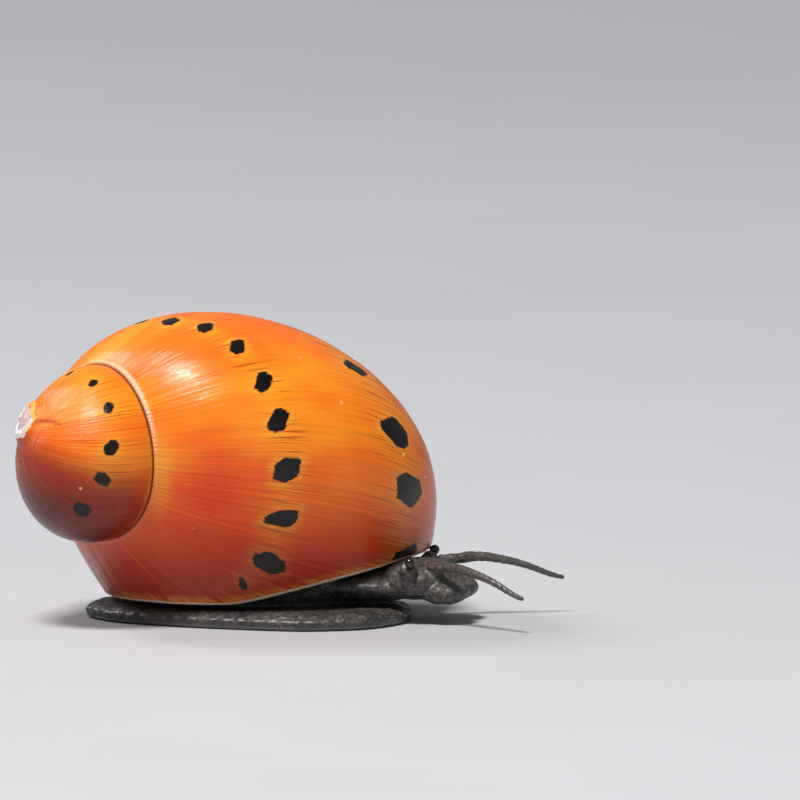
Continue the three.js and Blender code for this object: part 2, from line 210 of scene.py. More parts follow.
def suture_distance(points, direction, turn, radius):
    """Distance beyond the suture, negative on the spire, and to the suture's inner turn."""
    body = body_reach(direction)
    spire = egg_reach(direction, SPIRE_CENTRE, SPIRE_HALF, SPIRE_AXES)
    spiral = INNER_SUTURE * np.exp(SUTURE_WIDENING * turn)
    outside = np.where(turn < 0, radius > spiral, body >= spire)
    close = np.linalg.norm(points - SPIRE_CENTRE, axis=1) < 8.5
    line = np.vstack([inner_suture(-math.pi, 0, 300), outer_suture()])
    beyond = np.full(len(points), 9.0)
    beyond[close] = distance_to(points[close], line)
    inner = np.full(len(points), 9.0)
    inner[close] = distance_to(points[close], inner_suture(-1.9 * math.pi, -math.pi, 300))
    return np.where(outside | ~close, beyond, -beyond), inner


def new_object(name, vertices, faces, smooth=True):
    mesh = bpy.data.meshes.new(name)
    mesh.from_pydata(((vertices + ORIGIN) * MM).tolist(), [], faces)
    mesh.update()
    if smooth:
        mesh.polygons.foreach_set("use_smooth", [True] * len(mesh.polygons))
    piece = bpy.data.objects.new(name, mesh)
    bpy.context.scene.collection.objects.link(piece)
    return piece


def add_field(piece, name, values):
    attribute = piece.data.attributes.new(name, "FLOAT", "POINT")
    attribute.data.foreach_set("value", np.asarray(values, np.float32))


def add_vector_field(piece, name, values):
    attribute = piece.data.attributes.new(name, "FLOAT_VECTOR", "POINT")
    attribute.data.foreach_set("vector", np.asarray(values, np.float32).ravel())


# Marks on the shell. A spot is given by its turn and hub angle in degrees, its half
# breadth and half height in millimetres, and how far its top leans outwards.
SPIRE_SPOTS = [
    (6.6, 18.8, 0.32, 0.30, 0.2),
    (43.6, 22.0, 0.30, 0.34, 0.3),
    (69.3, 24.2, 0.30, 0.36, 0.3),
    (98.7, 25.7, 0.42, 0.44, 0.2),
    (119.8, 26.7, 0.50, 0.40, -0.3),
    (143.4, 27.7, 0.62, 0.48, -0.2),
]
MIDDLE_SPOTS = [
    (18.9, 60.1, 0.62, 0.62, 0.2),
    (33.3, 68.7, 0.56, 0.58, 0.3),
    (48.6, 74.8, 0.54, 0.56, 0.3),
    (66.4, 79.0, 0.54, 0.64, 0.35),
    (82.5, 82.5, 0.62, 0.74, 0.35),
    (101.3, 85.8, 0.80, 0.78, 0.3),
    (119.7, 88.4, 0.94, 0.62, 0.5),
    (136.7, 89.3, 0.98, 0.66, -0.25),
    (146.2, 84.6, 0.30, 0.34, -0.6),
]
LOWER_SPOTS = [
    (59.1, 128.2, 1.00, 0.60, -0.5),
    (87.7, 131.8, 1.25, 0.92, -0.4),
    (109.6, 133.3, 1.45, 1.00, -0.4),
    (133.9, 131.4, 1.35, 0.90, 0.0),
]

SPIRE_PALE_AND_LIT_SIDE = np.array([0.47, 0.21, 0.99])  # the way in which the spire grows paler, partly its own colour and partly its painted shade lightening towards the light


def middle_row(turn):
    """Hub angle of the middle row, which runs on from the spire's row."""
    u = turn - math.pi / 2
    late = 84.6 + 10.0 * u - 7.6 * u * u
    early = np.exp(4.09 + 0.1735 * (u + 1.24))
    return np.where(u > -1.24, late, early)


def spire_row(turn):
    return 25.0 * np.exp(0.16 * (turn - math.pi / 2))


def lower_row(turn):
    u = turn - math.pi / 2
    return np.where(u > -1, 132.0 + 3.0 * u - 6.0 * u * u, 123.0 + 15.0 * (u + 1))


def surface_point(turn, angle):
    """The shell's surface at a turn and hub angle, found along the ray from the hub."""
    across = math.sin(angle)
    way = COIL_UP * across * math.cos(turn) + COIL_OUT * COIL_WIDTH * across * math.sin(turn)
    way = way + COIL_AXIS * math.cos(angle)
    low, high = 0.0, 30.0
    for _ in range(40):
        middle = (low + high) / 2
        q = HUB + way * middle - BODY_CENTRE
        length = np.linalg.norm(q)
        inside = length < shell_reach((q / length)[None])[0]
        low, high = (middle, high) if inside else (low, middle)
    return HUB + way * low


def hidden_spots(rng):
    """Spots that carry each row on round the side that the photo doesn't show."""
    spots = []
    for turn in np.arange(-170, 5, 19.0):
        t = math.radians(turn + rng.uniform(-3, 3))
        size = 0.36 + 0.12 * (turn + 180) / 180
        spots.append((math.degrees(t), float(middle_row(t)), size, size * 1.1, 0.2))
    for turn in np.arange(-120, 45, 24.0):
        t = math.radians(turn + rng.uniform(-4, 4))
        spots.append((math.degrees(t), float(lower_row(t)), rng.uniform(0.55, 0.8), 0.6, -0.3))
    for turn in (-84, -48, -20):
        t = math.radians(turn)
        spots.append((turn, float(spire_row(t)), 0.2, 0.22, 0.1))
    spots.append((154.0, 89.0, 0.9, 0.6, 0.1))
    return spots


def spot_distance(points, spots, rng):
    """Signed distance to the edge of the nearest spot, negative inside."""
    nearest = np.full(len(points), 3.0)
    for turn, angle, breadth, height, lean in spots:
        t, a = math.radians(turn), math.radians(angle)
        centre = surface_point(t, a)
        step = 0.02
        outward = unit(surface_point(t, a + step) - centre)
        onward = surface_point(t - step, a) - centre
        onward = unit(onward - outward * (onward @ outward))
        close = np.linalg.norm(points - centre, axis=1) < 3.0
        q = points[close] - centre
        y = q @ onward
        x = q @ outward - lean * y
        # A rough hexagon whose corners an ellipse cuts round.
        edge = np.full(len(q), -9.0)
        sides = 6
        start = rng.uniform(0, 1)
        for k in range(sides):
            phi = (k + start + rng.uniform(-0.22, 0.22)) * 2 * math.pi / sides
            c, s = math.cos(phi), math.sin(phi)
            size = math.hypot(breadth * c, height * s) * rng.uniform(0.82, 1.06)
            edge = np.maximum(edge, x * c + y * s - size)
        round_edge = (np.hypot(x / breadth, y / height) - 1.08) * min(breadth, height)
        edge = np.maximum(edge, round_edge)
        nearest[close] = np.minimum(nearest[close], edge)
    return nearest


# Relief of the shell. Turns are in radians, the rest in millimetres.
RIB_COUNT = 26  # waves in each bundle of growth lines
FINE_RELIEF = 0.006
COARSE_RELIEF = 0.010
GROWTH_LEAN = 0.16  # how far growth lines lean outwards as they leave the suture
GROOVE_DEPTH = 0.10
GROOVE_WIDTH = 0.08
INNER_GROOVE_DEPTH = 0.02
INNER_GROOVE_WIDTH = 0.07
LINE_FADE = (-2.7, -0.8)  # the suture's line starts between these turns
FRILL_START = (-0.1, 0.5)  # the crimped frill starts and ends between these turns
FRILL_END = (1.35, 1.9)
FRILL_FAINT = 0.12  # what is left of it elsewhere
FRILL_OFFSET = 0.22
FRILL_WIDTH = 0.14
FRILL_HEIGHT = 0.03
TICK_HEIGHT = 0.05
TICK_COUNT = 150

# The worn patch: its radius, and the waves of its ragged edge as count, start and size.
WORN_RADIUS = 1.30
WORN_WAVES = [(3, 0.6, 0.07), (7, 0.0, 0.05), (13, 2.0, 0.035), (29, 0.0, 0.02)]
WORN_EDGE = 0.04
WORN_DEPTH = 0.05
PIT_STEP = (0.25, 0.55)  # how far inside the edge the pit's wall starts and ends
PIT_DEPTH = 0.24
PIT_ROUGHNESS = 0.03
STAIN_SIDE = (0.83, 0.55)  # how far ahead and up the patch's orange side lies

# Growth lines gather at the columella, below the far end of the coil's axis.
COLUMELLA_START = 7.0
COLUMELLA_BEND = 0.014

# The shell's mesh, and where it is finest: middle, half breadth and extra density.
COLUMNS = 1150
OUTER_ROWS = 430
INNER_ROWS = 40
LIP_ROWS = 8
FINE_AZIMUTH = (-2.30, 0.42, 1.6)
FINE_POLAR = (0.60, 0.16, 0.9)
FAR = 9.0  # stands for far away in a field of distances


def growth_wave(turn, rng, low=30, high=170):
    """A bundle of waves along the whorl that stands for uneven growth."""
    total = np.zeros_like(turn)
    for _ in range(RIB_COUNT):
        total += np.sin(rng.integers(low, high) * turn + rng.uniform(0, 2 * math.pi))
    return total / math.sqrt(RIB_COUNT)


def spread(count, low, high, middle, breadth, extra):
    """Values from low to high, closer together round a middle."""
    fine = np.linspace(low, high, 4000)
    density = 1 + extra * np.exp(-(((fine - middle) / breadth) ** 2))
    total = np.concatenate([[0], np.cumsum((density[1:] + density[:-1]) / 2)])
    return np.interp(np.linspace(0, total[-1], count + 1), total, fine)


def lip_height(x):
    ahead = x - LIP_RISE_START
    return LIP_HEIGHT + LIP_RISE * 0.5 * (ahead + np.sqrt(ahead**2 + 0.6)) + LIP_ROUNDING - 0.05


def ray(azimuth, polar):
    flat = np.sin(polar)
    return np.stack([flat * np.cos(azimuth), flat * np.sin(azimuth), np.cos(polar)], -1)


def polar_at(azimuth, height, inset):
    """The polar angle at which the shell's surface comes down to a height."""
    low = np.full_like(azimuth, math.pi / 2)
    high = np.full_like(azimuth, math.pi - 0.05)
    for _ in range(32):
        middle = (low + high) / 2
        direction = ray(azimuth, middle)
        point = BODY_CENTRE + direction * (shell_reach(direction) - inset)[:, None]
        above = point[:, 2] > height(point[:, 0])
        low, high = np.where(above, middle, low), np.where(above, high, middle)
    return low


def shell_rays():
    """Rays to the outer surface, first the top and then rows down to the edge."""
    azimuth = spread(COLUMNS, -math.pi, math.pi, *FINE_AZIMUTH)[:-1]
    edge = polar_at(azimuth, lip_height, 0.0)
    shares = spread(OUTER_ROWS, 0.0, 1.0, *FINE_POLAR)[1:]
    polar = (shares[:, None] * edge[None, :]).ravel()
    direction = ray(np.tile(azimuth, OUTER_ROWS), polar)
    return azimuth, np.vstack([[[0.0, 0.0, 1.0]], direction])


def growth_flow(points, depth, angle):
    """A value that stays the same along a growth line."""
    q = points - APEX
    bend = COLUMELLA_BEND * np.maximum(0, depth - COLUMELLA_START) ** 2
    flow = np.arctan2(q @ COIL_OUT / COIL_WIDTH, q @ COIL_UP + bend)
    return flow + GROWTH_LEAN * np.log(np.maximum(angle, 2) / 30.0)


def suture_marks(turn, beyond):
    """How strong the suture's line is, and its frill with the frill's ticks."""
    line_strength = np.where(turn < 0, smoothstep(turn, *LINE_FADE), 1.0)
    shown = smoothstep(turn, *FRILL_START) * (1 - smoothstep(turn, *FRILL_END))
    shown = shown * (1 - FRILL_FAINT) + FRILL_FAINT
    ticks = 0.5 + 0.5 * np.sin(TICK_COUNT * turn + 2.5 * np.sin(17 * turn))
    frill = np.exp(-(((beyond - FRILL_OFFSET) / FRILL_WIDTH) ** 2)) * shown * (beyond > 0)
    return line_strength, frill, ticks


def worn_tip(points):
    """Where the tip is worn, the distance past its ragged edge, its stain and its depth."""
    tip = points - TIP_CENTRE - unit(TIP_FACING) * TIP_RADIUS
    up, ahead = tip[:, 2], tip @ TIP_AHEAD
    out = tip @ unit(np.cross(TIP_FACING, [0.0, 0.0, 1.0]))
    around = np.arctan2(out, up)
    ragged = WORN_RADIUS
    for count, start, size in WORN_WAVES:
        ragged = ragged + size * np.sin(count * around + start)
    distance = np.linalg.norm(tip, axis=1) - ragged
    worn = 1 - smoothstep(distance, -WORN_EDGE, WORN_EDGE)
    rough = np.sin(8 * tip[:, 0] + 1) * np.sin(9 * tip[:, 2]) * np.sin(7 * tip[:, 1])
    pit = smoothstep(-distance, *PIT_STEP) * (PIT_DEPTH + PIT_ROUGHNESS * rough)
    stain = STAIN_SIDE[0] * ahead + STAIN_SIDE[1] * up
    return worn, distance, stain, WORN_DEPTH + pit


def wall_rows(azimuth, outer_rim):
    """The rim, which turns in under the edge, and the inner wall up to the ceiling."""
    inner_edge = polar_at(azimuth, lip_height, WALL)
    inner_top = polar_at(azimuth, lambda x: np.full_like(x, CAVITY_TOP), WALL)
    inner_rows = []
    for share in np.linspace(0, 1, INNER_ROWS):
        rays = ray(azimuth, inner_edge * (1 - share) + inner_top * share)
        inner_rows.append(BODY_CENTRE + rays * (shell_reach(rays) - WALL)[:, None])
    inner_rim = inner_rows[0]
    rim_rows = []
    for k in range(1, LIP_ROWS):
        bend = math.pi * k / LIP_ROWS
        middle = (outer_rim + inner_rim) / 2 + (outer_rim - inner_rim) / 2 * math.cos(bend)
        rim_rows.append(middle - np.array([0, 0, LIP_ROUNDING * math.sin(bend)]))
    return rim_rows + inner_rows


def shell_faces(rows):
    """Faces between rows of points, closed by one point at each end."""
    this = np.arange(COLUMNS)
    following = np.roll(this, -1)
    neighbours = list(zip(this.tolist(), following.tolist()))
    faces = [(0, 1 + a, 1 + b) for a, b in neighbours]
    for row in range(rows - 1):
        top, bottom = 1 + row * COLUMNS, 1 + (row + 1) * COLUMNS
        quads = np.stack([top + this, bottom + this, bottom + following, top + following], 1)
        faces += quads.tolist()
    last, centre = 1 + (rows - 1) * COLUMNS, 1 + rows * COLUMNS
    return faces + [(last + a, centre, last + b) for a, b in neighbours]


def spire_share(direction, turn, on_spire):
    """1 on the spire, with a soft edge on the far side, where no suture shows."""
    dome = egg_reach(direction, SPIRE_CENTRE, SPIRE_HALF, SPIRE_AXES) - body_reach(direction)
    soft = np.where(turn < 0, smoothstep(dome, -0.9, 0.4), 0.0)
    return np.maximum(on_spire, soft)


def streak_distance(points, tip_distance):
    """Distance to the dark streak beside the worn tip."""
    line = np.array([surface_point(*np.radians(place)) for place in TIP_STREAK])
    distance = np.full(len(points), FAR)
    close = tip_distance < 4.0
    distance[close] = distance_to(points[close], line)
    return distance


def make_shell():
    rng = np.random.default_rng(7)
    azimuth, direction = shell_rays()
    reach = shell_reach(direction)
    smooth = BODY_CENTRE + direction * reach[:, None]
    turn, radius, depth = coil_place(smooth)
    angle = hub_angle(smooth)
    beyond, inner_gap = suture_distance(smooth, direction, turn, radius)
    on_spire = (beyond < 0) & (depth < SHOULDER_END)

    flow = growth_flow(smooth, depth, angle)
    line_strength, frill, ticks = suture_marks(turn, beyond)
    relief = FINE_RELIEF * growth_wave(flow, rng)
    relief += COARSE_RELIEF * growth_wave(flow, rng, 6, 40) * smoothstep(angle, 20, 60)
    relief -= GROOVE_DEPTH * np.exp(-((beyond / GROOVE_WIDTH) ** 2)) * line_strength
    relief -= INNER_GROOVE_DEPTH * np.exp(-((inner_gap / INNER_GROOVE_WIDTH) ** 2))
    relief += frill * (FRILL_HEIGHT + TICK_HEIGHT * ticks)
    worn, tip_distance, stain, worn_depth = worn_tip(smooth)
    relief = relief * (1 - worn) - worn * worn_depth

    outer = BODY_CENTRE + direction * (reach + relief)[:, None]
    walls = wall_rows(azimuth, outer[-COLUMNS:])
    ceiling = np.array([[0.0, 0.0, CAVITY_TOP]])
    vertices = np.vstack([outer, *walls, ceiling])
    piece = new_object("shell", vertices, shell_faces(OUTER_ROWS + len(walls)))

    row_gap = np.where(on_spire, angle - spire_row(turn), angle - middle_row(turn))
    lower_gap = np.where(on_spire, FAR, np.radians(angle - lower_row(turn)) * 9.0)
    spots = SPIRE_SPOTS + MIDDLE_SPOTS + LOWER_SPOTS + hidden_spots(rng)
    notch = np.linalg.norm(smooth - TIP_NOTCH, axis=1) - TIP_NOTCH_RADIUS
    fields = {  # name: values on the outer surface, and the value elsewhere
        "spot": (spot_distance(smooth, spots, rng), 3.0),
        "middle_gap": (np.radians(row_gap) * np.where(on_spire, 9.0, 8.5), FAR),
        "lower_gap": (lower_gap, FAR),
        "beyond": (beyond, FAR),
        "line_strength": (line_strength, 0.0),
        "inner_gap": (inner_gap, FAR),
        "frill": (frill, 0.0),
        "ticks": (ticks, 0.0),
        "worn": (worn, 0.0),
        "tip_distance": (tip_distance, FAR),
        "stain": (stain, 0.0),
        "notch": (notch, FAR),
        "streak": (streak_distance(smooth, tip_distance), FAR),
        "turn": (turn, 1.5),
        "angle": (angle, 90.0),
        "on_spire": (spire_share(direction, turn, on_spire), 0.0),
        # distance along the spire's paler side, which sets its painted shade and darker early
        # whorls
        "pale_and_lit_side": ((smooth - APEX) @ SPIRE_PALE_AND_LIT_SIDE, FAR),
        "inside": (0.0, 1.0),
        "lip_gap": (smooth[:, 2] - lip_height(smooth[:, 0]), FAR),
    }
    for name, (values, elsewhere) in fields.items():
        full = np.full(len(vertices), elsewhere, float)
        full[: len(outer)] = values
        add_field(piece, name, full)
    stream = np.zeros((len(vertices), 3))
    stream[: len(outer)] = np.stack([np.cos(flow), np.sin(flow), np.radians(angle)], 1)
    add_vector_field(piece, "stream", stream)
    return piece


# Soft body. One skin covers foot, neck, head, snout, feelers and eye stalks.
FOOT_CENTRE = np.array([0.6, -0.8, 0.0])
FOOT_HALF_LENGTH = 9.5
FOOT_HALF_WIDTH = 6.1
FOOT_TAPER = 0.22
SOLE_STEPS = [(0.45, 0.0), (0.15, 0.1), (0.0, 0.38), (0.1, 0.62), (0.45, 0.84), (1.1, 0.95)]
COLUMN_HEIGHTS = (0.4, 1.0, 1.5, 2.2, 3.0, CAVITY_TOP - 0.5)
COLUMN_GAP = 0.35  # between the soft body and the shell's inner wall
NECK_CENTRE = (7.2, 0.0, 2.1)
NECK_HALF = (4.6, 3.0, 0.95)
HEAD_CENTRE = (10.5, 0.0, 2.45)
HEAD_HALF = (2.4, 2.95, 1.18)
SNOUT_LOBE_CENTRE = (12.15, 1.1, 1.9)
SNOUT_LOBE_HALF = (1.5, 1.75, 0.78)
TENTACLE_ROOT = np.array([11.2, 1.8, 3.25])
TENTACLE_LENGTH = 7.55
TENTACLE_SPREAD = 32
TENTACLE_RADIUS = 0.36
TENTACLE_TIP_RADIUS = 0.16
TENTACLE_RISES = [0, 0.25, -0.25, -1.28]  # at the root and each third
EYE_STALK_ROOT = np.array([10.3, 2.45, 2.9])
EYE_STALK_LEAN = np.array([0.25, 0.8, 0.65])
EYE_STALK_LENGTH = 0.95
EYE_STALK_SHOWN = 0.75  # how far up its stalk an eye's root lies
EYE_STALK_RADIUS = 0.45
EYE_RADIUS = 0.29
GAP = 0.3
SKIN_VOXEL = 0.11
HEAD_START = (8.5, 10.0)
CROSS_FOLDS = 0.022
SLANT_FOLDS = 0.014
FEELER_RINGS = 0.012
SOLE_GROOVE = 0.06
SOLE_GROOVE_HEIGHT = 0.30
MOUTH_DEPTH = 0.25


def egg_mesh(centre, half, rings=28):
    mesh = bmesh.new()
    bmesh.ops.create_uvsphere(mesh, u_segments=rings * 2, v_segments=rings, radius=1)
    for vertex in mesh.verts:
        vertex.co = Vector([c + h * v for c, h, v in zip(centre, half, vertex.co)])
    return mesh


def rod_mesh(points, radii, sides=20):
    """A round rod with domed ends along a line of points."""
    mesh = bmesh.new()
    points = np.asarray(points, float)
    tangents = unit(np.gradient(points, axis=0))
    rings = []
    for point, tangent, radius in zip(points, tangents, radii):
        side = unit(np.cross(tangent, [0, 0, 1.0]))
        up = np.cross(side, tangent)
        ring = []
        for k in range(sides):
            phi = 2 * math.pi * k / sides
            spoke = side * math.cos(phi) + up * math.sin(phi)
            ring.append(mesh.verts.new((point + spoke * radius).tolist()))
        rings.append(ring)
    for first, second in zip(rings, rings[1:]):
        for k in range(sides):
            n = (k + 1) % sides
            mesh.faces.new((first[k], first[n], second[n], second[k]))
    for ring, point in ((rings[0], points[0]), (rings[-1], points[-1])):
        hub = mesh.verts.new(point.tolist())
        for k in range(sides):
            mesh.faces.new((ring[k], ring[(k + 1) % sides], hub))
    bmesh.ops.recalc_face_normals(mesh, faces=mesh.faces)
    return mesh


def ring_stack_mesh(rings):
    """A closed solid through a stack of rings with flat ends."""
    mesh = bmesh.new()
    made = [[mesh.verts.new(p) for p in ring] for ring in rings]
    count = len(made[0])
    for first, second in zip(made, made[1:]):
        for k in range(count):
            n = (k + 1) % count
            mesh.faces.new((first[k], first[n], second[n], second[k]))
    mesh.faces.new(made[0])
    mesh.faces.new(made[-1])
    bmesh.ops.recalc_face_normals(mesh, faces=mesh.faces)
    return mesh


def sole_ring(inset, height, count=160):
    points = []
    for k in range(count):
        phi = 2 * math.pi * k / count
        along = math.copysign(abs(math.cos(phi)) ** 0.85, math.cos(phi))
        across = math.copysign(abs(math.sin(phi)) ** 0.85, math.sin(phi))
        wave = 0.05 * math.sin(5 * phi + 1) + 0.04 * math.sin(11 * phi + 2) - 0.06
        width = FOOT_HALF_WIDTH * (1 + FOOT_TAPER * along) - inset + wave
        length = FOOT_HALF_LENGTH - inset + wave
        points.append((FOOT_CENTRE[0] + along * length, FOOT_CENTRE[1] + across * width, height))
    return points


def column_rings(inset):
    """The body inside the opening, which follows the shell's inner wall."""
    azimuth = np.arange(120) / 120 * 2 * math.pi
    rings = []
    for height in COLUMN_HEIGHTS:
        polar = polar_at(azimuth, lambda x: np.full_like(x, height), inset)
        rays = ray(azimuth, polar)
        ring = BODY_CENTRE + rays * (shell_reach(rays) - inset)[:, None]
        ring[:, 2] = height
        pulled = ring * [0.9, 0.9, 1] if height < 1.2 else ring
        rings.append([tuple(p) for p in pulled])
    return rings


def tentacle_line(side):
    s = np.linspace(0, 1, 30)
    along = s * TENTACLE_LENGTH
    rise = np.interp(s, [0, 0.33, 0.67, 1.0], TENTACLE_RISES)
    rise = np.convolve(np.pad(rise, 3, mode="edge"), np.ones(7) / 7, "valid")
    spread = math.radians(TENTACLE_SPREAD)
    x = TENTACLE_ROOT[0] + along * math.cos(spread)
    y = side * (TENTACLE_ROOT[1] + along * math.sin(spread) + 0.18 * np.sin(s * 5 + side))
    return np.stack([x, y, TENTACLE_ROOT[2] + rise], 1)


def stalk_direction(side):
    return unit(EYE_STALK_LEAN * [1, side, 1])


def make_skin():
    meshes = [ring_stack_mesh([sole_ring(*step) for step in SOLE_STEPS])]
    meshes.append(ring_stack_mesh(column_rings(WALL + COLUMN_GAP)))
    meshes.append(egg_mesh(NECK_CENTRE, NECK_HALF))
    meshes.append(egg_mesh(HEAD_CENTRE, HEAD_HALF))
    for side in (1, -1):
        centre = (SNOUT_LOBE_CENTRE[0], side * SNOUT_LOBE_CENTRE[1], SNOUT_LOBE_CENTRE[2])
        meshes.append(egg_mesh(centre, SNOUT_LOBE_HALF))
        line = tentacle_line(side)
        radii = np.linspace(TENTACLE_RADIUS, TENTACLE_TIP_RADIUS, len(line))
        meshes.append(rod_mesh(line, radii))
        meshes.append(egg_mesh(line[-1], (TENTACLE_TIP_RADIUS,) * 3, 12))
        root = EYE_STALK_ROOT * [1, side, 1]
        reach = np.linspace(-0.6, EYE_STALK_LENGTH, 8)[:, None]
        widths = np.linspace(EYE_STALK_RADIUS * 1.5, EYE_STALK_RADIUS * 0.9, 8)
        meshes.append(rod_mesh(root + stalk_direction(side) * reach, widths))
    joined = bmesh.new()
    for made in meshes:
        scratch = bpy.data.meshes.new("scratch")
        made.to_mesh(scratch)
        made.free()
        joined.from_mesh(scratch)
        bpy.data.meshes.remove(scratch)
    mesh = bpy.data.meshes.new("soft_body")
    joined.to_mesh(mesh)
    joined.free()
    piece = bpy.data.objects.new("soft_body", mesh)
    bpy.context.scene.collection.objects.link(piece)
    remesh = piece.modifiers.new("one_skin", "REMESH")
    remesh.mode = "VOXEL"
    remesh.voxel_size = SKIN_VOXEL
    remesh.use_smooth_shade = True
    relax = piece.modifiers.new("relax", "SMOOTH")
    relax.factor = 0.5
    relax.iterations = 4
    apply_modifiers(piece)
    shape_skin(piece)
    return piece


def apply_modifiers(piece):
    graph = bpy.context.evaluated_depsgraph_get()
    made = bpy.data.meshes.new_from_object(piece.evaluated_get(graph))
    piece.modifiers.clear()
    old = piece.data
    piece.data = made
    bpy.data.meshes.remove(old)


def shape_skin(piece):
    """Wrinkles, a mouth slit and the skin's fields, then millimetres to metres."""
    mesh = piece.data
    count = len(mesh.vertices)
    co = np.zeros(count * 3, np.float32)
    mesh.vertices.foreach_get("co", co)
    co = co.reshape(-1, 3).astype(float)
    normal = np.zeros(count * 3, np.float32)
    mesh.vertices.foreach_get("normal", normal)
    normal = normal.reshape(-1, 3).astype(float)
    x, y, z = co.T
    head = smoothstep(x, *HEAD_START)
    tentacle = smoothstep(np.hypot(x - 10.5, y), 3.6, 4.2) * (x > 10.5)
    folds = CROSS_FOLDS * np.sin(x * 7 + 1.5 * np.sin(y * 3))
    folds += SLANT_FOLDS * np.sin(x * 4 - y * 9 + 2 * np.sin(x * 2))
    folds *= smoothstep(z, 0.2, 0.4)
    folds -= SOLE_GROOVE * np.exp(-(((z - SOLE_GROOVE_HEIGHT) / 0.10) ** 2))
    rings = FEELER_RINGS * np.sin(np.hypot(x - 11, y) * 16)
    slit = np.exp(-((y / 0.16) ** 2)) * smoothstep(x, 12.2, 13.2) * (1 - smoothstep(z, 1.8, 2.4))
    lift = folds * (1 - tentacle) + rings * tentacle - MOUTH_DEPTH * slit
    co = co + normal * (lift * smoothstep(z, 0.02, 0.3))[:, None]
    co[:, 2] = np.maximum(co[:, 2], 0.0)
    moved = (co + ORIGIN) * MM
    mesh.vertices.foreach_set("co", moved.astype(np.float32).ravel())
    mesh.update()
    add_field(piece, "head", head)
    add_field(piece, "feeler", tentacle)
    add_field(piece, "height", z)


def make_eye(word, side):
    root = EYE_STALK_ROOT * [1, side, 1]
    centre = root + stalk_direction(side) * (EYE_STALK_SHOWN + GAP + EYE_RADIUS)
    mesh = egg_mesh(centre, (EYE_RADIUS,) * 3, 24)
    made = bpy.data.meshes.new(f"eyeball_{word}")
    mesh.transform(Matrix.Scale(MM, 4) @ Matrix.Translation(Vector(ORIGIN)))
    mesh.to_mesh(made)
    mesh.free()
    made.polygons.foreach_set("use_smooth", [True] * len(made.polygons))
    piece = bpy.data.objects.new(f"eyeball_{word}", made)
    bpy.context.scene.collection.objects.link(piece)
    return piece


class Nodes:
    """A small helper that builds a material's node tree."""

    def __init__(self, name):
        self.material = bpy.data.materials.new(name)
        self.material.use_nodes = True
        self.tree = self.material.node_tree
        self.shader = self.tree.nodes["Principled BSDF"]

    def add(self, kind, **settings):
        node = self.tree.nodes.new(kind)
        for key, value in settings.items():
            setattr(node, key, value)
        return node

    def link(self, source, target):
        self.tree.links.new(source, target)

    def feed(self, socket, value):
        if isinstance(value, bpy.types.NodeSocket):
            self.link(value, socket)
        elif isinstance(value, tuple) and len(value) == 3 and socket.type == "RGBA":
            socket.default_value = (*value, 1)
        else:
            socket.default_value = value

    def field(self, name):
        return self.add("ShaderNodeAttribute", attribute_name=name).outputs["Fac"]

    def vector_field(self, name):
        return self.add("ShaderNodeAttribute", attribute_name=name).outputs["Vector"]

    def math(self, operation, first, second=0.0, clamp=False):
        node = self.add("ShaderNodeMath", operation=operation, use_clamp=clamp)
        self.feed(node.inputs[0], first)
        self.feed(node.inputs[1], second)
        return node.outputs[0]

    def ramp(self, value, low, high, start=0.0, end=1.0):
        node = self.add("ShaderNodeMapRange", interpolation_type="SMOOTHSTEP")
        self.feed(node.inputs["Value"], value)
        limits = {"From Min": low, "From Max": high, "To Min": start, "To Max": end}
        for key, number in limits.items():
            node.inputs[key].default_value = number
        return node.outputs[0]

    def plus(self, first, second):
        return self.math("ADD", first, second)

    def times(self, first, second):
        return self.math("MULTIPLY", first, second)

    def fade(self, value, low, high):
        """1 up to low, falling smoothly to 0 at high."""
        return self.ramp(value, low, high, 1.0, 0.0)

    def bell(self, value, width):
        """1 where the value is zero, falling smoothly to 0 at the width on each side."""
        return self.ramp(self.math("ABSOLUTE", value), 0.0, width, 1.0, 0.0)

    def mix(self, share, first, second, blend="MIX"):
        node = self.add("ShaderNodeMix", data_type="RGBA", blend_type=blend)
        self.feed(node.inputs["Factor"], share)
        self.feed(node.inputs["A"], first)
        self.feed(node.inputs["B"], second)
        return node.outputs["Result"]

    def layer(self, colour, strength, share, tint):
        """The colour with a tint laid over it where the share is high."""
        return self.mix(self.times(share, strength), colour, tint)

    def scaled(self, vector, scale):
        node = self.add("ShaderNodeVectorMath", operation="MULTIPLY")
        self.feed(node.inputs[0], vector)
        node.inputs[1].default_value = scale
        return node.outputs[0]

    def noise(self, vector, scale, detail=3.0, roughness=0.55):
        node = self.add("ShaderNodeTexNoise")
        self.feed(node.inputs["Vector"], vector)
        node.inputs["Scale"].default_value = scale
        node.inputs["Detail"].default_value = detail
        node.inputs["Roughness"].default_value = roughness
        return node.outputs["Fac"]

    def cells(self, vector, scale, feature="F1"):
        node = self.add("ShaderNodeTexVoronoi", feature=feature)
        self.feed(node.inputs["Vector"], vector)
        node.inputs["Scale"].default_value = scale
        return node.outputs["Distance"]

    def place(self):
        return self.add("ShaderNodeTexCoord").outputs["Object"]

    def bump(self, height, strength, distance, normal=None):
        node = self.add("ShaderNodeBump")
        node.inputs["Strength"].default_value = strength
        node.inputs["Distance"].default_value = distance
        self.feed(node.inputs["Height"], height)
        if normal is not None:
            self.link(normal, node.inputs["Normal"])
        return node.outputs["Normal"]


